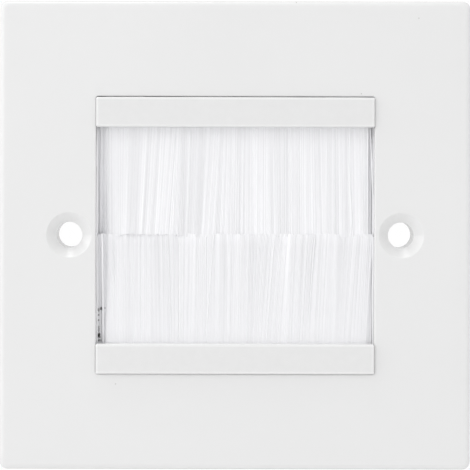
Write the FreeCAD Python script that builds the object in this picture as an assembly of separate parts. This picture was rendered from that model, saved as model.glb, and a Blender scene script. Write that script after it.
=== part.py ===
import FreeCAD, Part
import math
import os

# Brush cable grommet: a single-gang wall plate with two snap-in brush inserts whose bristles meet mid-way.
# Millimetres. X runs to the right, Y into the wall and Z up. The origin lies midway between the two
# fixing screws, in the plane of the wall, so the plate stands in front of it at negative Y.

Vector = FreeCAD.Vector
ALONG_X = Vector(1, 0, 0)
ALONG_Y = Vector(0, 1, 0)
ALONG_Z = Vector(0, 0, 1)
ORIGIN = Vector(0, 0, 0)

# Faceplate shell
plate_width = 86.0
plate_height = 85.6
plate_depth = 9.0
front_wall = 2.8
skirt_wall = 2.0
draft_degrees = 2.0
plate_corner_radius = 1.5
plate_edge_radius = 1.0
cavity_corner_radius = 1.0

# Opening for the inserts, its collar and the lips behind the sides of the bristles
opening_width = 50.55
opening_height = 50.35
opening_corner_radius = 0.4
opening_edge_radius = 0.25
collar_wall = 1.6
side_lip_width = 1.4
side_lip_thickness = 1.2
side_lip_clearance = 0.1

# Fixing holes
fixing_spacing = 60.3
fixing_bore = 4.7
countersink_diameter = 8.2
countersink_degrees = 100.0
countersink_rim_radius = 0.3
boss_diameter = 9.2

# Stiffening ribs between the collar and the skirt
rib_thickness = 1.2
rib_spacing = 30.0
rib_setback = 2.0

# Brush bar, the visible front half of an insert
bar_height = 5.4
bar_thickness = 3.2
bar_proud = 0.8
bar_end_clearance = 0.04
bar_edge_radius = 0.3
bar_corner_radius = 0.3

# Play of an insert between the bar and the edge of the opening, and how far its weight settles it
insert_play = 0.105
insert_settle = 0.045

# Snap hooks on the bar and the ledges in the opening that they catch
hook_inset = 12.0
hook_width = 4.0
hook_thickness = 0.9
hook_catch = 0.6
hook_nose = 1.1
hook_clearance = 0.15
ledge_length = 7.0
ledge_depth = 1.0
ledge_thickness = 1.5

# Bristles, folded over a wire and squeezed between the bar and the rear clamp
bristle_side_gap = 0.4
bristle_thickness = 2.2
bead_diameter = 2.8
bead_cover = 0.2
bead_clearance = 0.05
wire_diameter = 1.0
wire_clearance = 0.03
tuft_count = 46
tuft_gap = 0.08
web_thickness = 0.8
web_reach = 13.0
meeting_gap = 0.1
tip_spread = 0.5

# Rear clamp, staked to the bar by three pegs
clamp_thickness = 1.8
clamp_reach = 6.2
clamp_clearance = 0.3
clamp_edge_radius = 0.7
notch_clearance = 0.25
peg_diameter = 1.4
peg_inset = 4.0
peg_clearance = 0.05
peg_head_diameter = 2.4
peg_head_height = 0.6

# Share of a turn that spreads the bristle tips evenly without a visible repeat
golden_step = (math.sqrt(5) - 1) / 2

# Depths, from the front of the bars back towards the wall
plate_front = -plate_depth
wall_back = plate_front + front_wall
bar_front = plate_front - bar_proud
bar_back = bar_front + bar_thickness
bristle_middle = bar_back + bristle_thickness / 2
clamp_front = bar_back + bristle_thickness
clamp_back = clamp_front + clamp_thickness
ledge_back = bar_back + ledge_thickness
lip_front = clamp_back + side_lip_clearance
lip_back = lip_front + side_lip_thickness

# Half sizes of the plate at the wall
half_plate_width = plate_width / 2
half_plate_height = plate_height / 2

# Half widths across the opening
half_opening = opening_width / 2
half_bar = half_opening - bar_end_clearance
half_clamp = half_opening - clamp_clearance
half_bristles = half_opening - bristle_side_gap

# Heights of the upper insert, from the top of the opening down
opening_top = opening_height / 2
ledge_edge = opening_top - ledge_depth
bar_top = opening_top - insert_play
bar_low = bar_top - bar_height
clamp_top = opening_top - clamp_clearance
clamp_low = bar_low - clamp_reach
hook_top = ledge_edge - hook_clearance
hook_low = hook_top - hook_thickness
bead_middle = bar_low + bead_cover + bead_diameter / 2
bead_top = bead_middle + bead_diameter / 2
peg_middle = (bead_top + clamp_top) / 2

hook_places = (hook_inset - half_bar, half_bar - hook_inset)
peg_places = (peg_inset - half_bar, 0.0, half_bar - peg_inset)


def block(x_limits, y_limits, z_limits):
    """A box between two limits along each axis."""
    corner = Vector(x_limits[0], y_limits[0], z_limits[0])
    length = x_limits[1] - x_limits[0]
    depth = y_limits[1] - y_limits[0]
    height = z_limits[1] - z_limits[0]
    return Part.makeBox(length, depth, height, corner)


def around(middle, size):
    """The two limits of a size centred on a place."""
    return (middle - size / 2, middle + size / 2)


def drafted_block(y_limits, half_width, half_height):
    """A block that narrows to the front by the draft, with its half sizes given in the plane of the wall."""
    lean = math.tan(math.radians(draft_degrees))
    front_x, back_x = [half_width + depth * lean for depth in y_limits]
    front_z, back_z = [half_height + depth * lean for depth in y_limits]
    return Part.makeWedge(
        -front_x, y_limits[0], -front_z, -back_z, -back_x,
        front_x, y_limits[1], front_z, back_z, back_x,
    )


def edges_along_depth(shape):
    """The straight edges that run from the front of a block to its back."""
    box = shape.BoundBox
    return [edge for edge in shape.Edges if edge.BoundBox.YLength > box.YLength / 2]


def edges_at_depth(shape, depth):
    """The edges that lie wholly in the plane at one depth."""
    found = []
    for edge in shape.Edges:
        box = edge.BoundBox
        if abs(box.YMin - depth) < 1e-6 and abs(box.YMax - depth) < 1e-6:
            found.append(edge)
    return found


def fitted(shape, half_turns):
    """A piece of an insert in its place: turned about the depth axis, then settled by its weight."""
    placed = shape.copy()
    placed.rotate(ORIGIN, ALONG_Y, 180 * half_turns)
    placed.translate(ALONG_Z * -insert_settle)
    return placed


def plate_shell():
    """The dished moulding: drafted sides, rounded corners and a softened front edge, hollow at the back."""
    outside = drafted_block((plate_front, 0), half_plate_width, half_plate_height)
    outside = outside.makeFillet(plate_corner_radius, edges_along_depth(outside))
    outside = outside.makeFillet(plate_edge_radius, edges_at_depth(outside, plate_front))
    hollow = drafted_block((wall_back, 0), half_plate_width - skirt_wall, half_plate_height - skirt_wall)
    hollow = hollow.makeFillet(cavity_corner_radius, edges_along_depth(hollow))
    return outside.cut(hollow)


def plate_ribs():
    """Pairs of ribs from the collar out to the skirt on all four sides, and one rib behind each boss."""
    side_end = half_plate_width - skirt_wall / 2
    top_end = half_plate_height - skirt_wall / 2
    depths = (wall_back, -rib_setback)
    ribs = []
    for place in (-rib_spacing / 2, rib_spacing / 2):
        across = around(place, rib_thickness)
        start = opening_top + collar_wall / 2
        ribs.append(block(across, depths, (start, top_end)))
        ribs.append(block(across, depths, (-top_end, -start)))
        start = half_opening + collar_wall / 2
        ribs.append(block((start, side_end), depths, across))
        ribs.append(block((-side_end, -start), depths, across))
    for side in (-1, 1):
        limits = sorted((side * fixing_spacing / 2, side * side_end))
        ribs.append(block(limits, depths, around(0, rib_thickness)))
    return ribs


def fixing_bosses():
    """The round posts behind the screw holes. They reach the wall, so that the screws don't bow the plate."""
    bosses = []
    for side in (-1, 1):
        foot = Vector(side * fixing_spacing / 2, wall_back, 0)
        bosses.append(Part.makeCylinder(boss_diameter / 2, -wall_back, foot, ALONG_Y))
    return bosses


def fixing_hole_section():
    """Half the section of a screw hole, by radius and depth: a bore, a countersink and its rounded rim."""
    half_angle = math.radians(countersink_degrees / 2)
    bore_radius = fixing_bore / 2
    sink_radius = countersink_diameter / 2
    sink_depth = (sink_radius - bore_radius) / math.tan(half_angle)
    tangent = countersink_rim_radius * math.tan((math.pi / 2 - half_angle) / 2)
    rim_centre = Vector(sink_radius + tangent, plate_front + countersink_rim_radius, 0)
    to_corner = Vector(sink_radius, plate_front, 0) - rim_centre
    rim_start = Vector(rim_centre.x, plate_front, 0)
    rim_middle = rim_centre + to_corner.normalize() * countersink_rim_radius
    rim_end = Vector(
        sink_radius - tangent * math.sin(half_angle),
        plate_front + tangent * math.cos(half_angle),
        0,
    )
    bore_start = Vector(bore_radius, plate_front + sink_depth, 0)
    bore_end = Vector(bore_radius, 0, 0)
    axis_end = ORIGIN
    axis_start = Vector(0, plate_front, 0)
    corners = [rim_end, bore_start, bore_end, axis_end, axis_start, rim_start]
    edges = [Part.Arc(rim_start, rim_middle, rim_end).toShape()]
    edges += [Part.LineSegment(a, b).toShape() for a, b in zip(corners, corners[1:])]
    return Part.Face(Part.Wire(edges))


def fixing_holes():
    """The two screw holes, turned about their axes and set at the fixing centres."""
    hole = fixing_hole_section().revolve(ORIGIN, ALONG_Y, 360)
    holes = []
    for side in (-1, 1):
        placed = hole.copy()
        placed.translate(ALONG_X * (side * fixing_spacing / 2))
        holes.append(placed)
    return holes


def opening_seats():
    """The four ledges that the bars sit on, and the two lips behind the sides of the bristles."""
    root = collar_wall / 2
    seats = []
    for place in hook_places:
        along = around(place, ledge_length)
        seats.append(block(along, (bar_back, ledge_back), (ledge_edge, opening_top + root)))
        seats.append(block(along, (bar_back, ledge_back), (-opening_top - root, -ledge_edge)))
    inner = half_opening - side_lip_width
    heights = (-opening_top, opening_top)
    seats.append(block((inner, half_opening + root), (lip_front, lip_back), heights))
    seats.append(block((-half_opening - root, -inner), (lip_front, lip_back), heights))
    return seats


def faceplate():
    """The moulded plate with its collar, bosses, ribs, seats and screw holes, as one piece."""
    collar = block(
        around(0, opening_width + 2 * collar_wall),
        (wall_back, lip_back),
        around(0, opening_height + 2 * collar_wall),
    )
    opening = block(around(0, opening_width), (plate_front, 0), around(0, opening_height))
    opening = opening.makeFillet(opening_corner_radius, edges_along_depth(opening))
    solid = plate_shell().cut(opening)
    reach = half_opening + opening_edge_radius
    front_edges = edges_at_depth(solid, plate_front)
    rim = [edge for edge in front_edges if -reach < edge.BoundBox.XMin and edge.BoundBox.XMax < reach]
    solid = solid.makeFillet(opening_edge_radius, rim)
    solid = solid.fuse([collar.cut(opening)] + fixing_bosses() + plate_ribs())
    solid = solid.cut(fixing_holes())
    solid = solid.fuse(opening_seats())
    return solid.removeSplitter()


def bead_channel():
    """The round channel that keeps the bead of folded bristles between bar and clamp, open at both ends."""
    start = Vector(-half_bar, bristle_middle, bead_middle)
    return Part.makeCylinder(bead_diameter / 2 + bead_clearance, 2 * half_bar, start, ALONG_X)


def snap_hook(place):
    """A springy arm behind the bar with a sloped nose that catches behind its ledge."""
    catch_front = ledge_back + hook_clearance
    catch_top = ledge_edge + hook_catch
    nose = catch_front + hook_nose
    profile = (
        (bar_back, hook_low),
        (bar_back, hook_top),
        (catch_front, hook_top),
        (catch_front, catch_top),
        (catch_front + hook_nose / 3, catch_top),
        (nose, hook_top),
        (nose, hook_low),
    )
    side = place - hook_width / 2
    points = [Vector(side, depth, height) for depth, height in profile]
    outline = Part.makePolygon(points + points[:1])
    return Part.Face(outline).extrude(ALONG_X * hook_width)


def staked_peg(place):
    """A peg through the rear clamp, with the head that hot staking leaves behind it."""
    root = Vector(place, bar_back, peg_middle)
    shank = Part.makeCylinder(peg_diameter / 2, clamp_back - bar_back, root, ALONG_Y)
    seat = Vector(place, clamp_back, peg_middle)
    head = Part.makeCone(peg_head_diameter / 2, peg_diameter / 2, peg_head_height, seat, ALONG_Y)
    return shank.fuse(head)


def brush_bar():
    """The front bar of an insert, standing a little proud of the plate, with its hooks and pegs behind."""
    bar = block((-half_bar, half_bar), (bar_front, bar_back), (bar_low, bar_top))
    bar = bar.makeFillet(bar_corner_radius, edges_along_depth(bar))
    bar = bar.makeFillet(bar_edge_radius, edges_at_depth(bar, bar_front))
    bar = bar.cut(bead_channel())
    fittings = [snap_hook(place) for place in hook_places]
    fittings += [staked_peg(place) for place in peg_places]
    return bar.fuse(fittings).removeSplitter()


def rear_clamp():
    """The flat bar behind the bristles, taller than the front one and notched round ledges and hooks."""
    clamp = block((-half_clamp, half_clamp), (clamp_front, clamp_back), (clamp_low, clamp_top))
    rounded = [
        edge
        for edge in edges_at_depth(clamp, clamp_front)
        if edge.BoundBox.ZMax < clamp_low + clamp_edge_radius
    ]
    clamp = clamp.makeFillet(clamp_edge_radius, rounded)
    cuts = [bead_channel()]
    depths = (clamp_front, clamp_back)
    for place in hook_places:
        along = around(place, ledge_length + 2 * notch_clearance)
        cuts.append(block(along, depths, (hook_low - notch_clearance, clamp_top)))
    for place in peg_places:
        start = Vector(place, clamp_front, peg_middle)
        hole_radius = peg_diameter / 2 + peg_clearance
        cuts.append(Part.makeCylinder(hole_radius, clamp_thickness, start, ALONG_Y))
    return clamp.cut(cuts).removeSplitter()


def tuft(index):
    """One tuft of bristles: a six-sided prism from the bar down to its own cut tip."""
    pitch = 2 * half_bristles / tuft_count
    middle = -half_bristles + pitch * (index + 0.5)
    half_width = (pitch - tuft_gap) / 2
    half_depth = bristle_thickness / 2
    section = (
        (-half_width, 0),
        (-half_width / 2, -half_depth),
        (half_width / 2, -half_depth),
        (half_width, 0),
        (half_width / 2, half_depth),
        (-half_width / 2, half_depth),
    )
    points = [Vector(middle + x, bristle_middle + y, bar_low) for x, y in section]
    outline = Part.makePolygon(points + points[:1])
    tip = meeting_gap / 2 + tip_spread * math.fmod(index * golden_step, 1)
    return Part.Face(outline).extrude(ALONG_Z * (tip - bar_low))


def bristles():
    """A curtain of tufts that hangs from the bead of filaments folded over the wire, as one soft piece."""
    length = 2 * half_bristles
    start = Vector(-half_bristles, bristle_middle, bead_middle)
    across = (-half_bristles, half_bristles)
    bead = Part.makeCylinder(bead_diameter / 2, length, start, ALONG_X)
    squeezed = block(across, (bar_back, clamp_front), (bar_low, bead_middle))
    web = block(across, around(bristle_middle, web_thickness), (bar_low - web_reach, bar_low))
    curtain = bead.fuse([squeezed, web] + [tuft(index) for index in range(tuft_count)])
    bore = Part.makeCylinder(wire_diameter / 2 + wire_clearance, length, start, ALONG_X)
    return curtain.cut(bore).removeSplitter()


def core_wire():
    """The wire that the bristles are folded over."""
    start = Vector(-half_bristles, bristle_middle, bead_middle)
    return Part.makeCylinder(wire_diameter / 2, 2 * half_bristles, start, ALONG_X)


insert_pieces = {
    "brush_bar": brush_bar(),
    "rear_clamp": rear_clamp(),
    "bristles": bristles(),
    "core_wire": core_wire(),
}

pieces = {"faceplate": faceplate()}
for name, piece in insert_pieces.items():
    pieces["upper_" + name] = fitted(piece, 0)
    pieces["lower_" + name] = fitted(piece, 1)

os.makedirs("parts", exist_ok=True)
for name, piece in pieces.items():
    piece.exportStep("parts/" + name + ".step")
    size = piece.BoundBox
    print(name, "solids", len(piece.Solids), "valid", piece.isValid(), "volume %.1f" % piece.Volume,
          "box %.2f x %.2f x %.2f" % (size.XLength, size.YLength, size.ZLength))
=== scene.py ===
# %% [markdown]
# # A brush cable grommet
#
# This wall plate lets cables out of a wall without leaving a hole to look into. A white moulded plate holds
# two snap-in inserts, and each insert holds a row of nylon bristles. The two rows meet in the middle.
# The plate, bars, clamps and wires are solid parts that come with the frame, at their real size. What is
# left to Blender is the finish of each part, and the bristles, which are loose filaments and not a block.

# %% Load the frame
import math
import random

import bmesh
import bpy
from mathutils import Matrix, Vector


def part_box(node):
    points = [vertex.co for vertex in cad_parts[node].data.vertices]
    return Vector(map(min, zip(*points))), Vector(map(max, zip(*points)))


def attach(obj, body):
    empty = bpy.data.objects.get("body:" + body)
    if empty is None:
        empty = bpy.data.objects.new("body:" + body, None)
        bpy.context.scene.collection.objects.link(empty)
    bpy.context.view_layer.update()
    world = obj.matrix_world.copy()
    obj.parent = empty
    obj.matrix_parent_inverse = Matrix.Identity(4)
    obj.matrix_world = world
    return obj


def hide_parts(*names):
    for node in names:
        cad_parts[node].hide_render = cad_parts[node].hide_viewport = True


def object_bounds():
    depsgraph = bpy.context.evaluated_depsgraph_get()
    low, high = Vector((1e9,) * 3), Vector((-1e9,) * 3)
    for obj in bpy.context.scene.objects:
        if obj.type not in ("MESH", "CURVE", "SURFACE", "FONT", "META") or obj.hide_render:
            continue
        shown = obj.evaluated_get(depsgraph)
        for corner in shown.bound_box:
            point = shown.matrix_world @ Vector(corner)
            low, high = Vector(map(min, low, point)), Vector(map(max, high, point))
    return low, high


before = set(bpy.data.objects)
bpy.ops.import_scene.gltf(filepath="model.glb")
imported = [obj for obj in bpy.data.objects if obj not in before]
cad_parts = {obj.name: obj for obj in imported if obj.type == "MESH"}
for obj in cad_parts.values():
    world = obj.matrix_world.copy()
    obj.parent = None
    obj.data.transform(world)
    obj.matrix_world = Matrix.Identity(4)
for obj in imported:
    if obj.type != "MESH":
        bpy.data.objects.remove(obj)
cad_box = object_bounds()
MM = 0.001
print("solid parts:", ", ".join(sorted(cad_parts)))

# %% [markdown]
# ## Helpers for materials
#
# Colours are written as the sRGB hex values that a paint chart would give, and Blender's shaders want linear
# light, so one function turns the first into the second. Shader nodes are all added by one small function
# that sets a node's own settings, then its input values, then its links. Every material below can then be
# read from top to bottom as a list of nodes.
#
# A Mix node has sockets for numbers, vectors and colours side by side, and many share a name. Those for
# colours are picked by their place, and the places are named here.

# %% Colour and node helpers
MIX_FIRST = 6
MIX_SECOND = 7
MIX_RESULT = 2


def colour(hex_value):
    """Linear red, green, blue and alpha from a hex value such as #E9E9E8, by the sRGB standard's curve."""
    channels = [int(hex_value[place:place + 2], 16) / 255 for place in (1, 3, 5)]
    linear = [c / 12.92 if c <= 0.04045 else ((c + 0.055) / 1.055) ** 2.4 for c in channels]
    return (*linear, 1.0)


def add_node(tree, kind, settings=None, values=None, links=None):
    """Adds a node to a tree, with its settings, its input values and the outputs that feed its inputs."""
    node = tree.nodes.new(kind)
    for name, setting in (settings or {}).items():
        setattr(node, name, setting)
    for name, value in (values or {}).items():
        node.inputs[name].default_value = value
    for name, source in (links or {}).items():
        tree.links.new(source, node.inputs[name])
    return node


def new_material(name):
    """An empty node material, with its tree and its output node."""
    material = bpy.data.materials.new(name)
    material.use_nodes = True
    material.node_tree.nodes.clear()
    output = add_node(material.node_tree, "ShaderNodeOutputMaterial")
    return material, material.node_tree, output


print("white paper, #FFFFFF, is", colour("#FFFFFF"))

# %% [markdown]
# ## Moulded urea for the plate
#
# Wall plates are pressed from white urea, a hard and slightly glossy plastic that stays white. To the eye it
# is an even cold white with a soft sheen. The mould leaves a faint unevenness a few millimetres wide in the
# polish, the pigment drifts a little over centimetres, and a few grey specks of dust lie under the skin.
# The specks come from a flat Voronoi pattern: one point per cell, shown only in some of the cells.

# %% Moulded urea
PIGMENT_DRIFT_MM = 28.0
POLISH_RIPPLE_MM = 2.4
POLISH_RIPPLE_HEIGHT_MM = 0.1
POLISH_RIPPLE_STRENGTH = 0.04
SPECK_SPACING_MM = 11.0
SPECK_RADIUS_MM = 0.16
SPECK_CORE_SHARE = 0.4
SPECK_SHARE = 0.2


def per_metre(size_mm):
    """The scale of a pattern whose features are this many millimetres wide."""
    return 1 / (size_mm * MM)


def moulded_urea():
    """Hard white urea: even, cold and slightly glossy, with a few specks."""
    material, tree, output = new_material("moulded_urea")
    place = add_node(tree, "ShaderNodeTexCoord").outputs["Object"]
    drift = add_node(
        tree, "ShaderNodeTexNoise",
        values={"Scale": per_metre(PIGMENT_DRIFT_MM), "Detail": 2.0},
        links={"Vector": place},
    )
    shade = add_node(
        tree, "ShaderNodeMix", {"data_type": "RGBA"},
        values={MIX_FIRST: colour("#E7E7E7"), MIX_SECOND: colour("#EAEAEA")},
        links={0: drift.outputs["Fac"]},
    )
    upright = add_node(
        tree, "ShaderNodeMapping",
        values={"Rotation": (math.radians(90), 0, 0)},
        links={"Vector": place},
    )
    cells = add_node(
        tree, "ShaderNodeTexVoronoi", {"voronoi_dimensions": "2D"},
        values={"Scale": per_metre(SPECK_SPACING_MM)},
        links={"Vector": upright.outputs["Vector"]},
    )
    near = add_node(
        tree, "ShaderNodeMapRange", {"interpolation_type": "SMOOTHSTEP"},
        values={
            "From Min": SPECK_RADIUS_MM / SPECK_SPACING_MM,
            "From Max": SPECK_CORE_SHARE * SPECK_RADIUS_MM / SPECK_SPACING_MM,
        },
        links={"Value": cells.outputs["Distance"]},
    )
    draw = add_node(tree, "ShaderNodeSeparateColor", links={"Color": cells.outputs["Color"]})
    chosen = add_node(
        tree, "ShaderNodeMath", {"operation": "LESS_THAN"},
        values={1: SPECK_SHARE},
        links={0: draw.outputs["Red"]},
    )
    speck = add_node(
        tree, "ShaderNodeMath", {"operation": "MULTIPLY"},
        links={0: near.outputs["Result"], 1: chosen.outputs["Value"]},
    )
    specked = add_node(
        tree, "ShaderNodeMix", {"data_type": "RGBA"},
        values={MIX_SECOND: colour("#C9C9C6")},
        links={0: speck.outputs["Value"], MIX_FIRST: shade.outputs[MIX_RESULT]},
    )
    ripple = add_node(
        tree, "ShaderNodeTexNoise",
        values={"Scale": per_metre(POLISH_RIPPLE_MM), "Detail": 1.0},
        links={"Vector": place},
    )
    polish = add_node(
        tree, "ShaderNodeBump",
        values={"Strength": POLISH_RIPPLE_STRENGTH, "Distance": POLISH_RIPPLE_HEIGHT_MM * MM},
        links={"Height": ripple.outputs["Fac"]},
    )
    shader = add_node(
        tree, "ShaderNodeBsdfPrincipled",
        values={"Roughness": 0.26, "IOR": 1.5},
        links={"Base Color": specked.outputs[MIX_RESULT], "Normal": polish.outputs["Normal"]},
    )
    tree.links.new(shader.outputs["BSDF"], output.inputs["Surface"])
    return material


plate_finish = moulded_urea()
print("plate finish:", plate_finish.name)

# %% [markdown]
# ## Moulded ABS for the inserts
#
# The bars and clamps are a softer plastic, ABS, moulded in a plainer tool. It is a shade greyer than the
# plate, and a little less glossy, with the fine unevenness that a milled tool leaves. Along its edges a
# painted highlight makes the plastic lighter, as a broad rounded edge would catch the light. The Bevel node
# finds them: it gives the normal that a rounder edge would have, and where that differs from the real
# normal, an edge is near.

# %% Moulded ABS
TOOL_MARK_MM = 1.2
TOOL_MARK_HEIGHT_MM = 0.05
TOOL_MARK_STRENGTH = 0.05
PAINTED_HIGHLIGHT_MM = 0.8
PAINTED_HIGHLIGHT_LIKENESS = 0.93


def moulded_abs():
    """White ABS with a fine, faint relief and a painted highlight along its edges."""
    material, tree, output = new_material("moulded_abs")
    place = add_node(tree, "ShaderNodeTexCoord").outputs["Object"]
    marks = add_node(
        tree, "ShaderNodeTexNoise",
        values={"Scale": per_metre(TOOL_MARK_MM), "Detail": 2.0},
        links={"Vector": place},
    )
    shade = add_node(
        tree, "ShaderNodeMix", {"data_type": "RGBA"},
        values={MIX_FIRST: colour("#E3E3E3"), MIX_SECOND: colour("#E7E7E7")},
        links={0: marks.outputs["Fac"]},
    )
    rounder = add_node(tree, "ShaderNodeBevel", {"samples": 8}, values={"Radius": PAINTED_HIGHLIGHT_MM * MM})
    surface = add_node(tree, "ShaderNodeNewGeometry")
    alike = add_node(
        tree, "ShaderNodeVectorMath", {"operation": "DOT_PRODUCT"},
        links={0: rounder.outputs["Normal"], 1: surface.outputs["Normal"]},
    )
    edge = add_node(
        tree, "ShaderNodeMapRange", {"interpolation_type": "SMOOTHSTEP"},
        values={"From Min": 1.0, "From Max": PAINTED_HIGHLIGHT_LIKENESS},
        links={"Value": alike.outputs["Value"]},
    )
    # painted highlight: near every edge the colour is made lighter, as a broad rounded edge catching the
    # light
    painted_highlight = add_node(
        tree, "ShaderNodeMix", {"data_type": "RGBA"},
        values={MIX_SECOND: colour("#F6F6F6")},
        links={0: edge.outputs["Result"], MIX_FIRST: shade.outputs[MIX_RESULT]},
    )
    relief = add_node(
        tree, "ShaderNodeBump",
        values={"Strength": TOOL_MARK_STRENGTH, "Distance": TOOL_MARK_HEIGHT_MM * MM},
        links={"Height": marks.outputs["Fac"]},
    )
    shader = add_node(
        tree, "ShaderNodeBsdfPrincipled",
        values={"Roughness": 0.28, "IOR": 1.53},
        links={"Base Color": painted_highlight.outputs[MIX_RESULT], "Normal": relief.outputs["Normal"]},
    )
    tree.links.new(shader.outputs["BSDF"], output.inputs["Surface"])
    return material


insert_finish = moulded_abs()
print("insert finish:", insert_finish.name)

# %% [markdown]
# ## Drawn steel for the wires
#
# The wire in the fold of each row is plain steel, a bare grey metal. It was pulled through a die, which
# leaves fine lines along its length. They come from a noise that is stretched along X.

# %% Drawn steel
DRAW_LINE_MM = 0.08
DRAW_LINE_LENGTH_MM = 12.0


def drawn_wire():
    """Plain steel wire with lines along X left by the drawing die."""
    material, tree, output = new_material("drawn_steel_wire")
    place = add_node(tree, "ShaderNodeTexCoord").outputs["Object"]
    stretched = add_node(
        tree, "ShaderNodeMapping",
        values={"Scale": (DRAW_LINE_MM / DRAW_LINE_LENGTH_MM, 1, 1)},
        links={"Vector": place},
    )
    lines = add_node(
        tree, "ShaderNodeTexNoise",
        values={"Scale": per_metre(DRAW_LINE_MM)},
        links={"Vector": stretched.outputs["Vector"]},
    )
    grey = add_node(
        tree, "ShaderNodeMix", {"data_type": "RGBA"},
        values={MIX_FIRST: colour("#9A9C9E"), MIX_SECOND: colour("#C2C4C6")},
        links={0: lines.outputs["Fac"]},
    )
    shader = add_node(
        tree, "ShaderNodeBsdfPrincipled",
        values={"Metallic": 1.0, "Roughness": 0.32},
        links={"Base Color": grey.outputs[MIX_RESULT]},
    )
    tree.links.new(shader.outputs["BSDF"], output.inputs["Surface"])
    return material


wire_finish = drawn_wire()
print("wire finish:", wire_finish.name)

# %% [markdown]
# ## Spots of grime
#
# At its lower left end this brush is soiled: a few olive grey spots of grime have dried on the filaments.
# They could be painted on, but a row of thin tubes has no single surface to paint. So each spot is a
# stretched ball in space, and the filaments are stained where they pass through it. A fine noise breaks its
# outline up.

# %% Grime
GRIME_GRAIN_MM = 0.3
GRIME_RAGGEDNESS = 0.6
GRIME_EDGE_SHARE = 1.1
GRIME_CORE_SHARE = 0.5
GRIME_PLACE_Y_MM = -5.9
GRIME_DEEP_MM = 1.0
grime_spots = (
    {"x_mm": -24.4, "z_mm": -13.55, "wide_mm": 0.42, "high_mm": 0.34, "dark": 0.8},
    {"x_mm": -24.9, "z_mm": -13.75, "wide_mm": 0.18, "high_mm": 0.4, "dark": 0.6},
    {"x_mm": -24.86, "z_mm": -14.65, "wide_mm": 0.2, "high_mm": 0.22, "dark": 0.7},
    {"x_mm": -24.86, "z_mm": -15.65, "wide_mm": 0.18, "high_mm": 0.2, "dark": 0.7},
    {"x_mm": -24.84, "z_mm": -17.3, "wide_mm": 0.25, "high_mm": 0.8, "dark": 0.4},
    {"x_mm": -24.8, "z_mm": -18.4, "wide_mm": 0.34, "high_mm": 0.5, "dark": 1.0},
    {"x_mm": -24.66, "z_mm": -19.3, "wide_mm": 0.36, "high_mm": 0.24, "dark": 0.6},
    {"x_mm": -23.7, "z_mm": -13.4, "wide_mm": 0.2, "high_mm": 0.18, "dark": 0.4},
)


def grime_share(tree, place):
    """How soiled a place is, from 0 to 1: the darkest of the spots that reach it."""
    grain = add_node(
        tree, "ShaderNodeTexNoise",
        values={"Scale": per_metre(GRIME_GRAIN_MM), "Detail": 2.0},
        links={"Vector": place},
    )
    ragged = add_node(
        tree, "ShaderNodeMapRange",
        values={"To Min": -GRIME_RAGGEDNESS, "To Max": GRIME_RAGGEDNESS},
        links={"Value": grain.outputs["Fac"]},
    )
    darkest = None
    for spot in grime_spots:
        middle = Vector((spot["x_mm"], GRIME_PLACE_Y_MM, spot["z_mm"])) * MM
        stretch = Vector((1 / spot["wide_mm"], 1 / GRIME_DEEP_MM, 1 / spot["high_mm"])) / MM
        local = add_node(
            tree, "ShaderNodeMapping",
            values={"Location": -middle * stretch, "Scale": stretch},
            links={"Vector": place},
        )
        distance = add_node(
            tree, "ShaderNodeVectorMath", {"operation": "LENGTH"},
            links={0: local.outputs["Vector"]},
        )
        broken = add_node(
            tree, "ShaderNodeMath", {"operation": "ADD"},
            links={0: distance.outputs["Value"], 1: ragged.outputs["Result"]},
        )
        stain = add_node(
            tree, "ShaderNodeMapRange", {"interpolation_type": "SMOOTHSTEP"},
            values={"From Min": GRIME_EDGE_SHARE, "From Max": GRIME_CORE_SHARE, "To Max": spot["dark"]},
            links={"Value": broken.outputs["Value"]},
        )
        if darkest is None:
            darkest = stain.outputs["Result"]
            continue
        either = add_node(
            tree, "ShaderNodeMath", {"operation": "MAXIMUM"},
            links={0: darkest, 1: stain.outputs["Result"]},
        )
        darkest = either.outputs["Value"]
    return darkest


print("grime:", len(grime_spots), "spots")

# %% [markdown]
# ## Extruded nylon for the filaments
#
# The filaments are extruded nylon: smooth and a very bright, slightly bluish white. A clear or waxy shader
# would seem right for nylon, but a thick row swallows the light that goes into such filaments and turns
# grey. White filaments pass the light on from one to the next, so the row looks brighter than the plate, as
# on the real brush. No two tufts are quite the same white. The mesh of a row carries a tone for each ring of
# each filament as an attribute, so the streaks follow the filaments wherever they lean. Extrusion leaves
# faint marks along a filament, which change its gloss a little.

# %% Extruded nylon
FILAMENT_MARK_MM = 0.35
FILAMENT_MARK_LENGTH_MM = 7.0
FILAMENT_ROUGHNESS = (0.4, 0.5)


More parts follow.
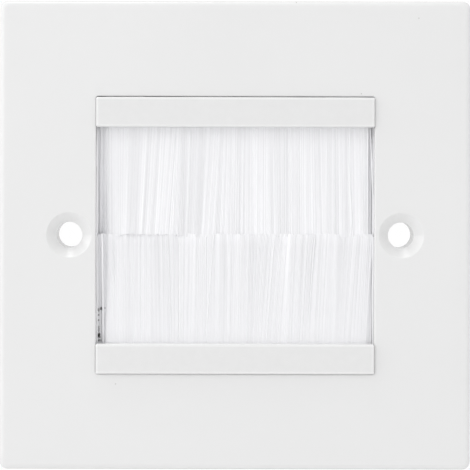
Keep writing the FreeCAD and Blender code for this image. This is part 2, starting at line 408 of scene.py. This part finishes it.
def nylon_filament():
    """Smooth bluish white nylon, no two filaments quite the same white, with grime at one end of the row."""
    material, tree, output = new_material("nylon_filament")
    place = add_node(tree, "ShaderNodeTexCoord").outputs["Object"]
    tone = add_node(tree, "ShaderNodeAttribute", {"attribute_name": "tone"})
    white = add_node(
        tree, "ShaderNodeMix", {"data_type": "RGBA"},
        values={MIX_FIRST: colour("#EDEDEF"), MIX_SECOND: colour("#FCFCFE")},
        links={0: tone.outputs["Fac"]},
    )
    drawn_out = add_node(
        tree, "ShaderNodeMapping",
        values={"Scale": (1, 1, FILAMENT_MARK_MM / FILAMENT_MARK_LENGTH_MM)},
        links={"Vector": place},
    )
    marks = add_node(
        tree, "ShaderNodeTexNoise",
        values={"Scale": per_metre(FILAMENT_MARK_MM), "Detail": 1.0},
        links={"Vector": drawn_out.outputs["Vector"]},
    )
    gloss = add_node(
        tree, "ShaderNodeMapRange",
        values={"To Min": FILAMENT_ROUGHNESS[0], "To Max": FILAMENT_ROUGHNESS[1]},
        links={"Value": marks.outputs["Fac"]},
    )
    soiled = add_node(
        tree, "ShaderNodeMix", {"data_type": "RGBA"},
        values={MIX_SECOND: colour("#2E2E29")},
        links={0: grime_share(tree, place), MIX_FIRST: white.outputs[MIX_RESULT]},
    )
    shader = add_node(
        tree, "ShaderNodeBsdfPrincipled",
        values={"IOR": 1.53},
        links={"Base Color": soiled.outputs[MIX_RESULT], "Roughness": gloss.outputs["Result"]},
    )
    tree.links.new(shader.outputs["BSDF"], output.inputs["Surface"])
    return material


filament_finish = nylon_filament()
print("filament finish:", filament_finish.name)

# %% [markdown]
# ## Finish the solid parts
#
# Each solid part comes with a material slot, so its finish is put into that slot. The solid bristles get
# none, because the filaments below take their place.

# %% Finish the solid parts
finishes = {
    "faceplate": plate_finish,
    "upper_brush_bar": insert_finish,
    "lower_brush_bar": insert_finish,
    "upper_rear_clamp": insert_finish,
    "lower_rear_clamp": insert_finish,
    "upper_core_wire": wire_finish,
    "lower_core_wire": wire_finish,
}
for name, finish in finishes.items():
    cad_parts[name].material_slots[0].material = finish
print("finished", len(finishes), "solid parts")

# %% [markdown]
# ## One filament
#
# A row of bristles could be a hair system, but hair is lost when the model is exported. It could be a block
# with a bumpy surface, but its edges and its gaps would look cut from one piece. Here each filament is a
# real tube with a few dozen faces. One tube is made from a closed cone primitive whose long edges are cut
# into rings. The first three rings go round the fold inside the bar, and the rest lie at stated shares of
# the way from the bar to the tip. Then the whole mesh is doubled again and again, and each copy is numbered,
# so that eleven doublings make a full row.

# %% Make one tube and double it
FILAMENT_DIAMETER_MM = 0.25
TUBE_SIDES = 6
TUBE_LENGTH = 1.0
BAR_RING = 2
RING_SHARES = (0.3, 0.62, 0.88, 1.0)
TUBE_RINGS = BAR_RING + 1 + len(RING_SHARES)
DOUBLINGS = 11


def numbered_tubes(mesh):
    """Fills a bmesh with straight tubes and returns the layers for their numbers and tones."""
    number = mesh.verts.layers.int.new("filament")
    tone = mesh.verts.layers.float.new("tone")
    radius = FILAMENT_DIAMETER_MM * MM / 2
    bmesh.ops.create_cone(
        mesh, cap_ends=True, segments=TUBE_SIDES, radius1=radius, radius2=radius, depth=TUBE_LENGTH
    )
    long_edges = [
        edge for edge in mesh.edges
        if abs(edge.verts[0].co.z - edge.verts[1].co.z) > TUBE_LENGTH / 2
    ]
    bmesh.ops.subdivide_edges(mesh, edges=long_edges, cuts=TUBE_RINGS - 2, use_grid_fill=True)
    for step in range(DOUBLINGS):
        everything = mesh.verts[:] + mesh.edges[:] + mesh.faces[:]
        copies = bmesh.ops.duplicate(mesh, geom=everything)["geom"]
        for item in copies:
            if isinstance(item, bmesh.types.BMVert):
                item[number] += 2 ** step
    return number, tone


print("a row gets", 2 ** DOUBLINGS, "filaments with", TUBE_RINGS, "rings each")

# %% [markdown]
# ## Two rows that meet
#
# On the real brush each filament is folded over the wire: one leg hangs in front, one behind. The two rows
# come from opposite sides and meet in the middle of the opening. Where the bar ends, how thick the fold is
# and how wide a row may be are measured on the solid parts, so the filaments start where those hold them.

# %% Places taken from the frame
WALL_PLAY_MM = 0.04

bar_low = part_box("upper_brush_bar")[0].z
stand_low = -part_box("lower_brush_bar")[1].z
row_low, row_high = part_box("upper_bristles")
row_middle = (row_low.y + row_high.y) / 2
fold_radius = (row_high.y - row_low.y) / 2
fold_rise = row_high.z - fold_radius - bar_low
wire_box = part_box("upper_core_wire")
wire_radius = (wire_box[1].z - wire_box[0].z) / 2
clamp_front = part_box("upper_rear_clamp")[0].y
filament_radius = FILAMENT_DIAMETER_MM * MM / 2
half_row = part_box("upper_brush_bar")[1].x + WALL_PLAY_MM * MM - filament_radius
half_exit = clamp_front - row_middle - filament_radius
print("row is %.1f mm wide and hangs %.1f mm" % (2 * half_row / MM, bar_low / MM))

# %% [markdown]
# ## Waves along a row
#
# Neighbouring filaments lie alike, and distant ones don't. A random number for each filament would give
# noise, so smooth random lines run along the row instead. Each is a sum of waves, given by their length and
# height. The layers of a row come in three groups, and each group has lines of its own, so that a gap in one
# group is backed by the next.

# %% Waves along a row
LEAN_WAVES_MM = ((7.3, 0.2), (4.1, 0.09))
SWING_WAVES_MM = ((13.0, 0.08), (7.3, 0.07), (4.1, 0.06))
RIPPLE_WAVES_MM = ((2.9, 0.05), (1.7, 0.05), (1.1, 0.04))
LENGTH_WAVES_MM = ((9.0, 0.04), (2.9, 0.03), (1.3, 0.03))
TONE_WAVES = ((8.3, 0.17), (15.0, 0.1), (2.3, 0.05), (1.3, 0.03), (0.7, 0.08))


class Drift:
    """A smooth random line along a row: a sum of waves, each with its length and height."""

    def __init__(self, draw, waves):
        self.waves = [(length, height, draw.uniform(0, math.tau)) for length, height in waves]

    def at(self, x_mm):
        return sum(
            height * math.sin(math.tau * x_mm / length + phase)
            for length, height, phase in self.waves
        )


class LayerGroup:
    """How one group of layers drifts: sideways, to the front or back, in its length and in its tone."""

    def __init__(self, draw):
        self.lean = Drift(draw, LEAN_WAVES_MM)
        self.swing = Drift(draw, SWING_WAVES_MM)
        self.ripple = Drift(draw, RIPPLE_WAVES_MM)
        self.length = Drift(draw, LENGTH_WAVES_MM)
        self.tone = Drift(draw, TONE_WAVES)


trial = Drift(random.Random(1), LEAN_WAVES_MM)
print("a trial lean, from millimetre to millimetre:", ["%.2f" % trial.at(x_mm) for x_mm in range(5)])

# %% [markdown]
# ## Out of the bar
#
# Every path starts on top of the fold, goes round the wire and leaves the bar. At the two ends of a row the
# front layers step back, and the light hardly reaches them. Only the filaments that lie against the wall of
# the opening stay a little further in front.

# %% Where a filament leaves the bar
WALL_BED_MM = 0.35
END_LOOSENESS = (0.7, 1.2)


def nearer_end(x_mm, row):
    """What the row states about its end that is nearer to a place."""
    return row["left_end"] if x_mm < 0 else row["right_end"]


def end_share(x_mm, end):
    """How far a place lies into the end of a row: 0 where the end starts, 1 at the wall."""
    inward = half_row / MM - end["length_mm"]
    share = min(max((abs(x_mm) - inward) / end["length_mm"], 0.0), 1.0)
    return share ** end["power"]


def exit_depth(draw, x_mm, layer_share, row):
    """Where a leg leaves the bar, as a distance behind the middle of the row."""
    end = nearer_end(x_mm, row)
    from_wall = half_row / MM - abs(x_mm)
    bedded = end["wall"] * max(1 - from_wall / WALL_BED_MM, 0.0)
    back = end["depth"] * end_share(x_mm, end) * (1 - bedded) * draw.uniform(*END_LOOSENESS)
    front = half_exit * (2 * back - 1)
    return front + (half_exit - front) * min(max(layer_share, 0.0), 1.0)


def fold_path(x_mm, depth, row):
    """The three hidden points of a leg: on top of the fold, at its side and where it leaves the bar."""
    share = abs(depth) / half_exit
    room = fold_radius - wire_radius - 2 * filament_radius
    radius = wire_radius + filament_radius + room * share
    side = math.copysign(radius, depth)
    fold_middle = row["root"] + fold_rise
    return [
        Vector((x_mm * MM, row_middle, fold_middle + radius)),
        Vector((x_mm * MM, row_middle + side, fold_middle)),
        Vector((x_mm * MM, row_middle + depth, row["root"])),
    ]


print("fold is %.1f mm thick, and the bar lets %.1f mm out" % (2 * fold_radius / MM, 2 * half_exit / MM))

# %% [markdown]
# ## Down to the tip
#
# Below the bar a filament leans to one side, almost evenly all the way to its tip. How far the tips lean is
# stated at a few places along a row, and the waves come on top, with a little chance for each filament. The
# swing to the front or back grows with the cube of the distance, so most of it lies near the tip. About one
# filament in eighty lies across its neighbours. The upper tips lie in front over a stretch on the left, and
# the lower tips everywhere else.

# %% The path of a filament
LEAN_POWER = 1.1
SWING_POWER = 3
OWN_LEAN_MM = 0.02
OWN_LENGTH_MM = 0.05
CROSSING_SHARE = 0.012
CROSSING_LEAN_MM = 0.8
CROSSING_SWING_MM = -0.1
UPPER_IN_FRONT_MM = (-21.0, -9.5)
CROSSOVER_WIDTH_MM = 3.0


def smooth(share):
    """A share from 0 to 1 that starts and ends gently."""
    share = min(max(share, 0.0), 1.0)
    return share * share * (3 - 2 * share)


def past(x_mm, limit_mm):
    """0 on the left of a limit, 1 on the right of it, and a smooth change between."""
    return smooth((x_mm - limit_mm) / CROSSOVER_WIDTH_MM + 0.5)


def in_front(x_mm, row):
    """1 where the tips of a row lie in front of the other row's tips, and 0 where they lie behind."""
    upper = past(x_mm, UPPER_IN_FRONT_MM[0]) - past(x_mm, UPPER_IN_FRONT_MM[1])
    return 1 - upper if row["stands"] else upper


def stated_lean(x_mm, row):
    """How far the tips lean to the right at a place, from the leans that are stated for the row."""
    leans = row["leans_mm"]
    for (left, left_lean), (right, right_lean) in zip(leans, leans[1:]):
        if x_mm <= right:
            break
    return left_lean + (right_lean - left_lean) * smooth((x_mm - left) / (right - left))


def hanging_path(draw, x_mm, depth, group, row):
    """All the ring centres of one filament of a row that hangs down."""
    path = fold_path(x_mm, depth, row)
    front = in_front(x_mm, row)
    crossing = draw.random() < CROSSING_SHARE
    lean = stated_lean(x_mm, row) + group.lean.at(x_mm)
    lean += draw.gauss(0, CROSSING_LEAN_MM if crossing else OWN_LEAN_MM)
    tip_x_mm = min(max(x_mm + lean, -half_row / MM), half_row / MM)
    swing = row["swing_front_mm"] * front + row["swing_behind_mm"] * (1 - front) + group.swing.at(x_mm)
    end = nearer_end(x_mm, row)
    swing += end["swing_mm"] * end_share(x_mm, end)
    ripple = group.ripple.at(x_mm) + CROSSING_SWING_MM * crossing
    tip = row["tip_front_mm"] * front + row["tip_behind_mm"] * (1 - front)
    tip += group.length.at(x_mm) + draw.gauss(0, OWN_LENGTH_MM)
    for share in RING_SHARES:
        path.append(Vector((
            (x_mm + (tip_x_mm - x_mm) * share ** LEAN_POWER) * MM,
            row_middle + depth + (swing * share ** SWING_POWER + ripple * share) * MM,
            row["root"] + (tip * MM - row["root"]) * share,
        )))
    return path


print("upper tips lie in front from %.1f to %.1f mm" % UPPER_IN_FRONT_MM)

# %% [markdown]
# ## Strays
#
# A few filaments have sprung out at the sides, into the gap beside a row, and they catch the light there.
# Some stand one before the other along the wall of the opening, and others lean or bow a little. Each is
# stated by where it leaves the bar, where its tip lies, how far it bows to the side and how far it swings to
# the front.

# %% The path of a stray
STRAY_LEAN_POWER = 2
WALL_STRAY_DEPTH_MM = -0.9
WALL_STRAY_END_MM = 0.3


def stray_path(stray, row):
    """The ring centres of a filament that has sprung out of the row at its side."""
    path = fold_path(stray["root_mm"], stray["depth_mm"] * MM, row)
    across = stray["tip_mm"] - stray["root_mm"]
    for share in RING_SHARES:
        bend = stray["bow_mm"] * math.sin(math.pi * share)
        path.append(Vector((
            (stray["root_mm"] + across * share ** STRAY_LEAN_POWER + bend) * MM,
            row_middle + (stray["depth_mm"] + stray["swing_mm"] * math.sin(math.pi / 2 * share)) * MM,
            row["root"] + (stray["end_mm"] * MM - row["root"]) * share,
        )))
    return path


def wall_strays(wall_mm, swings_mm):
    """Filaments that stand out in front of a row along a wall of the opening, one before the other."""
    stray = {"root_mm": wall_mm, "depth_mm": WALL_STRAY_DEPTH_MM, "tip_mm": wall_mm, "bow_mm": 0.0}
    return [{**stray, "end_mm": WALL_STRAY_END_MM, "swing_mm": swing_mm} for swing_mm in swings_mm]


print("strays along a wall end %.1f mm short of the middle" % WALL_STRAY_END_MM)

# %% [markdown]
# ## Tones
#
# The whiteness of a row isn't even. Broad streaks are shared by neighbours, fine ones belong to single
# filaments, and both grow towards the tips. Light and shade are painted in too: a row is painted lighter
# near its bar, against the shade that the bar casts, and darker towards the tips. The tips of the lower row
# get a painted highlight, and the last full tuft on the left of each row is painted lighter, against the
# shade of the wall. All this is one number for each ring: 0 is the greyer white of the filament finish, and
# 1 the brighter one.

# %% The tones of a filament
TONE_FADE = 5.0
BROAD_STREAKS = (0.4, 1.5)
OWN_STREAKS = (1.0, 1.4)
DARKEST_OWN = -0.8
LAST_TUFT_MM = 2.8
LAST_TUFT_WIDTH_MM = 2.4
STRAY_TONE = 0.8


def between(ends, share):
    """A value on the way from the first to the second of two ends."""
    return ends[0] + (ends[1] - ends[0]) * share


def ring_tones(x_mm, row, broad, own):
    """The tone of a filament at each ring, from its broad streak and its own, with painted light and shade
    on top.
    """
    from_wall = half_row / MM - abs(x_mm)
    # painted light: the last full tuft of an end is made lighter, against the shade that the wall of the
    # opening casts
    tuft = smooth(1 - abs(from_wall - LAST_TUFT_MM) / LAST_TUFT_WIDTH_MM)
    painted_light_near_wall = nearer_end(x_mm, row)["tone"] * tuft
    tones = []
    for share in (0.0,) * (BAR_RING + 1) + RING_SHARES:
        # painted light and shade: lighter near the bar, against the shade that the bar casts, and darker
        # towards the tips
        tone = painted_light_near_wall + between(row["tones"], 1 - (1 - share) ** TONE_FADE)
        tone += row["broad_tone"] * broad * between(BROAD_STREAKS, share)
        tones.append(tone + row["own_tone"] * own * between(OWN_STREAKS, share))
    # painted highlight on the cut tips, which also lifts the shade along the seam
    tones[-1] += row["painted_tip_highlight"]
    return tones


print("streaks at the tips: broad %.1f, own %.1f" % (BROAD_STREAKS[1], OWN_STREAKS[1]))

# %% [markdown]
# ## All the filaments of a row
#
# Squeezed by the bar, the legs leave it side by side. They are dealt out in columns along the row, and in
# each column layer behind layer, with every second layer half a column to the side. A row is packed closest
# at its front and back, where it is pressed flat, so the layers lie there.

# %% Deal out the filaments
LAYER_GROUPS = ((0.01, 0.045, 0.08), (0.125, 0.17), (0.88, 0.93, 0.98))
LAYER_LOOSENESS = 0.012
FIRST_COLUMN = 0.25
COLUMN_LOOSENESS = 0.25


def row_filaments(draw, row):
    """The path and tones of every filament: layer behind layer, set half a step apart, and the strays."""
    groups = [LayerGroup(draw) for shares in LAYER_GROUPS]
    layers = [(share, group) for shares, group in zip(LAYER_GROUPS, groups) for share in shares]
    count = 2 ** DOUBLINGS
    columns = count // len(layers)
    filaments = []
    for index in range(count - len(row["strays"])):
        layer = index % len(layers)
        layer_share, group = layers[layer]
        loose = draw.uniform(-COLUMN_LOOSENESS, COLUMN_LOOSENESS) / 2
        column = index // len(layers) + FIRST_COLUMN + (layer % 2) / 2 + loose
        x_mm = half_row * (2 * column / columns - 1) / MM
        x_mm = min(max(x_mm, -half_row / MM), half_row / MM)
        layer_share += draw.uniform(-LAYER_LOOSENESS, LAYER_LOOSENESS)
        depth = exit_depth(draw, x_mm, layer_share, row)
        tones = ring_tones(x_mm, row, group.tone.at(x_mm), max(draw.gauss(0, 1), DARKEST_OWN))
        filaments.append((hanging_path(draw, x_mm, depth, group, row), tones))
    stray_tones = [STRAY_TONE] * TUBE_RINGS
    filaments.extend((stray_path(stray, row), stray_tones) for stray in row["strays"])
    return filaments


print("layers in each group:", [len(shares) for shares in LAYER_GROUPS])

# %% [markdown]
# ## Bend the tubes
#
# The doubled tubes all lie in one place, straight and one unit long. Each vertex knows the number of its
# filament, and its height says on which ring it is, so it can be moved to that ring's place on the path. The
# tubes are turned by chance, so that their flat sides don't line up. The lower row is made as a hanging row
# too and turned over last. That turns its faces inside out, so they are reversed.

# %% A row as one mesh


def brush_row(name, row):
    """A row of filaments as one mesh object. A row that stands up is a hanging one turned over."""
    draw = random.Random(row["seed"])
    mesh = bmesh.new()
    number, tone = numbered_tubes(mesh)
    filaments = row_filaments(draw, row)
    twists = [draw.uniform(0, math.tau) for filament in filaments]
    for vert in mesh.verts:
        ring = round((TUBE_LENGTH / 2 - vert.co.z) / TUBE_LENGTH * (TUBE_RINGS - 1))
        path, tones = filaments[vert[number]]
        vert[tone] = tones[ring]
        twist = twists[vert[number]]
        across = vert.co.x * math.cos(twist) - vert.co.y * math.sin(twist)
        along = vert.co.x * math.sin(twist) + vert.co.y * math.cos(twist)
        offset = Vector((across, 0, -along)) if ring == 0 else Vector((across, along, 0))
        vert.co = path[ring] + offset
    if row["stands"]:
        bmesh.ops.scale(mesh, vec=(1, 1, -1), verts=mesh.verts[:])
        bmesh.ops.reverse_faces(mesh, faces=mesh.faces[:])
    data = bpy.data.meshes.new(name)
    mesh.to_mesh(data)
    mesh.free()
    data.materials.append(filament_finish)
    piece = bpy.data.objects.new(name, data)
    bpy.context.collection.objects.link(piece)
    print(name, len(filaments), "filaments,", len(data.polygons), "faces")
    return piece


# %% [markdown]
# ## Hang both rows
#
# The two rows differ in their tones, in how far they lean at stated places from left to right, in which way
# their tips swing, and in how their ends step back. A lean is stated as a place along the row and how far
# the tips lean to the right there. An end is stated by its length, how soon and how deep its front steps
# back, how much less it does so at the wall, how far the tips swing back and how much lighter the last full
# tuft is painted, against the shade of the wall. All heights of the lower row are given as if it hung,
# because it is turned over last.

# %% Strays at the sides
LEFT_WALL_SWINGS_MM = (-0.2, -0.5, -0.8, -1.1, -1.4, -1.7)
RIGHT_WALL_SWINGS_MM = (-0.2, -0.6, -1.0)

side_strays = wall_strays(-half_row / MM, LEFT_WALL_SWINGS_MM)
side_strays += wall_strays(half_row / MM, RIGHT_WALL_SWINGS_MM)
print("strays along the walls of each row:", len(side_strays))

# %% What the upper row is like
upper_row = {
    "seed": 45,
    # tones: painted lighter near the bar against its shade, and darker towards the tips
    "tones": (0.72, 0.55),
    "painted_tip_highlight": 0.0,
    "broad_tone": 1.0,
    "own_tone": 0.32,
    "stands": False,
    "root": bar_low,
    "leans_mm": (
        (-25.3, 0.0), (-21, -0.1), (-14, -1.3), (-8, -0.8),
        (-4, -1.0), (4, 0.1), (20, 0.3), (25.3, 0.0),
    ),
    "swing_front_mm": -0.25,
    "swing_behind_mm": 0.0,
    "tip_front_mm": 0.1,
    "tip_behind_mm": -0.3,
    # the tone of an end paints its last full tuft lighter, against the shade of the wall
    "left_end": {
        "length_mm": 2.1, "power": 0.6, "depth": 0.46, "wall": 0.6, "swing_mm": 0.9, "tone": 0.45,
    },
    "right_end": {
        "length_mm": 0.9, "power": 0.4, "depth": 0.4, "wall": 0.6, "swing_mm": 0.0, "tone": 0.0,
    },
    "strays": side_strays + [
        {"root_mm": -25.14, "depth_mm": -0.9, "tip_mm": -25.14, "end_mm": 12.5, "bow_mm": 0.0,
         "swing_mm": -1.8},
        {"root_mm": 24.7, "depth_mm": -0.6, "tip_mm": 25.1, "end_mm": 7.5, "bow_mm": 0.05,
         "swing_mm": -1.2},
    ],
}
print("upper row:", len(upper_row["strays"]), "strays")

# %% What the lower row is like
lower_row = {
    "seed": 65,
    # tones: painted lighter near the bar against its shade, and darker towards the tips
    "tones": (0.68, 0.36),
    "painted_tip_highlight": 0.3,
    "broad_tone": 0.6,
    "own_tone": 0.12,
    "stands": True,
    "root": stand_low,
    "leans_mm": (
        (-25.3, 0.1), (-14, -0.3), (-5, 0.3), (-2, 0.1),
        (7, 1.4), (12, 0.9), (18, 1.0), (25.3, 1.2),
    ),
    "swing_front_mm": -0.15,
    "swing_behind_mm": 0.2,
    "tip_front_mm": -0.15,
    "tip_behind_mm": -0.5,
    # the tone of an end paints its last full tuft lighter, against the shade of the wall
    "left_end": {
        "length_mm": 1.7, "power": 0.6, "depth": 0.54, "wall": 0.6, "swing_mm": 0.0, "tone": 0.4,
    },
    "right_end": {
        "length_mm": 1.2, "power": 0.5, "depth": 0.32, "wall": 0.6, "swing_mm": 0.0, "tone": 0.0,
    },
    "strays": side_strays + [
        {"root_mm": -25.14, "depth_mm": -0.9, "tip_mm": -25.14, "end_mm": -0.5, "bow_mm": 0.03,
         "swing_mm": -1.9},
        {"root_mm": -24.0, "depth_mm": -0.9, "tip_mm": -24.15, "end_mm": -0.3, "bow_mm": 0.0,
         "swing_mm": -1.9},
    ],
}
print("lower row:", len(lower_row["strays"]), "strays")

# %% Make both rows
for side, row in (("upper", upper_row), ("lower", lower_row)):
    piece = brush_row(side + "_filaments", row)
    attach(piece, "root")
    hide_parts(side + "_bristles")

# %% [markdown]
# ## Floor, light and background
#
# The plate is shown alone on white. The floor is pale and catches a soft shadow near the object, and further
# out it fades into the white that the camera sees behind everything. That white is only for the camera and
# for reflections. The light that falls on the object from the world is dimmer, so that pale surfaces keep
# their shade.

# %% Floor
FLOOR_DROP_MM = 32.0
FLOOR_SIZE_M = 6.0
FADE_START_M = 0.1
FADE_END_M = 0.24


def seen_directly(tree):
    """1 for rays from the camera, from a reflection or through a clear part, and 0 for the rest."""
    path = add_node(tree, "ShaderNodeLightPath")
    either = add_node(
        tree, "ShaderNodeMath", {"operation": "MAXIMUM"},
        links={0: path.outputs["Is Camera Ray"], 1: path.outputs["Is Glossy Ray"]},
    )
    any_of_them = add_node(
        tree, "ShaderNodeMath", {"operation": "MAXIMUM"},
        links={0: either.outputs["Value"], 1: path.outputs["Is Transmission Ray"]},
    )
    return any_of_them.outputs["Value"]


def pale_floor_paint():
    """Matt pale paint near the object that fades to plain white further out."""
    material, tree, output = new_material("pale_floor_paint")
    place = add_node(tree, "ShaderNodeTexCoord").outputs["Object"]
    flat = add_node(tree, "ShaderNodeMapping", values={"Scale": (1, 1, 0)}, links={"Vector": place})
    distance = add_node(
        tree, "ShaderNodeVectorMath", {"operation": "LENGTH"},
        links={0: flat.outputs["Vector"]},
    )
    fade = add_node(
        tree, "ShaderNodeMapRange", {"interpolation_type": "SMOOTHSTEP"},
        values={"From Min": FADE_START_M, "From Max": FADE_END_M},
        links={"Value": distance.outputs["Value"]},
    )
    share = add_node(
        tree, "ShaderNodeMath", {"operation": "MULTIPLY"},
        links={0: fade.outputs["Result"], 1: seen_directly(tree)},
    )
    paint = add_node(
        tree, "ShaderNodeBsdfPrincipled",
        values={"Base Color": colour("#F2F2F2"), "Roughness": 0.8},
    )
    white = add_node(tree, "ShaderNodeEmission", values={"Color": colour("#FFFFFF"), "Strength": 1.0})
    mixed = add_node(
        tree, "ShaderNodeMixShader",
        links={0: share.outputs["Value"], 1: paint.outputs["BSDF"], 2: white.outputs["Emission"]},
    )
    tree.links.new(mixed.outputs["Shader"], output.inputs["Surface"])
    return material


floor_mesh = bmesh.new()
bmesh.ops.create_grid(floor_mesh, x_segments=1, y_segments=1, size=FLOOR_SIZE_M / 2)
bmesh.ops.translate(floor_mesh, vec=(0, 0, cad_box[0].z - FLOOR_DROP_MM * MM), verts=floor_mesh.verts[:])
floor_data = bpy.data.meshes.new("floor")
floor_mesh.to_mesh(floor_data)
floor_mesh.free()
floor_data.materials.append(pale_floor_paint())
floor = bpy.data.objects.new("floor", floor_data)
bpy.context.collection.objects.link(floor)
print("floor %.0f mm under the plate" % FLOOR_DROP_MM)

# %% [markdown]
# ## World and lamps
#
# A large soft lamp in front, at the upper left, gives the shapes their shade. A larger and weaker one on the
# right fills that shade a little. Two smaller lamps skim the plate from the left and from above. They hardly
# reach its face, but they draw a bright line along each edge that is turned towards them.

# %% World and lamps
AMBIENT = 0.776
lamps = {
    "key_softbox": {"watts": 1.7, "size_m": 0.7, "place_m": (-0.58, -0.62, 0.34)},
    "left_strip": {"watts": 0.85, "size_m": 0.3, "place_m": (-0.95, -0.16, 0.25)},
    "top_strip": {"watts": 1.8, "size_m": 0.3, "place_m": (-0.15, -0.11, 1.0)},
    "right_fill": {"watts": 0.85, "size_m": 1.0, "place_m": (0.9, -0.4, 0.1)},
}

scene = bpy.context.scene
world = bpy.data.worlds.new("white_studio")
world.use_nodes = True
world.node_tree.nodes.clear()
sky = world.node_tree
ambient = add_node(sky, "ShaderNodeBackground", values={"Color": colour("#FFFFFF"), "Strength": AMBIENT})
backdrop = add_node(sky, "ShaderNodeBackground", values={"Color": colour("#FFFFFF"), "Strength": 1.0})
either_sky = add_node(
    sky, "ShaderNodeMixShader",
    links={0: seen_directly(sky), 1: ambient.outputs["Background"], 2: backdrop.outputs["Background"]},
)
add_node(sky, "ShaderNodeOutputWorld", links={"Surface": either_sky.outputs["Shader"]})
scene.world = world

for name, settings in lamps.items():
    lamp_data = bpy.data.lights.new(name, "AREA")
    lamp_data.energy = settings["watts"]
    lamp_data.size = settings["size_m"]
    lamp = bpy.data.objects.new(name, lamp_data)
    lamp.location = settings["place_m"]
    lamp.rotation_euler = (-lamp.location).to_track_quat("-Z", "Y").to_euler()
    bpy.context.collection.objects.link(lamp)
    print(name, settings["watts"], "W at", settings["place_m"])
scene.view_settings.view_transform = "Standard"

# %% [markdown]
# ## Camera
#
# The photograph was taken square on, from about forty centimetres, with the camera a little above the middle
# of the plate and a little to its left. Turning the camera down would make the sides converge, which the
# photograph doesn't show, so the lens is shifted instead, as on a view camera. The picture is turned by
# about an eighth of a degree, and so is the camera.

# %% Camera
CAMERA_DISTANCE_MM = 413.0
CAMERA_LEFT_MM = 4.0
CAMERA_ABOVE_MM = 11.0
VIEW_WIDTH_MM = 85.2
VIEW_CENTRE_MM = (-0.05, 0.05)
CAMERA_ROLL_DEGREES = -0.13
SENSOR_WIDTH_MM = 36.0

plate_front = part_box("faceplate")[0].y
camera_data = bpy.data.cameras.new("camera")
camera_data.sensor_width = SENSOR_WIDTH_MM
camera_data.lens = SENSOR_WIDTH_MM * CAMERA_DISTANCE_MM / VIEW_WIDTH_MM
camera_data.shift_x = (VIEW_CENTRE_MM[0] + CAMERA_LEFT_MM) / VIEW_WIDTH_MM
camera_data.shift_y = (VIEW_CENTRE_MM[1] - CAMERA_ABOVE_MM) / VIEW_WIDTH_MM
camera = bpy.data.objects.new("camera", camera_data)
camera.location = (-CAMERA_LEFT_MM * MM, plate_front - CAMERA_DISTANCE_MM * MM, CAMERA_ABOVE_MM * MM)
camera.rotation_euler = (math.radians(90), math.radians(CAMERA_ROLL_DEGREES), 0)
bpy.context.collection.objects.link(camera)
scene.camera = camera
print("lens %.0f mm, shift %.3f, %.3f" % (camera_data.lens, camera_data.shift_x, camera_data.shift_y))
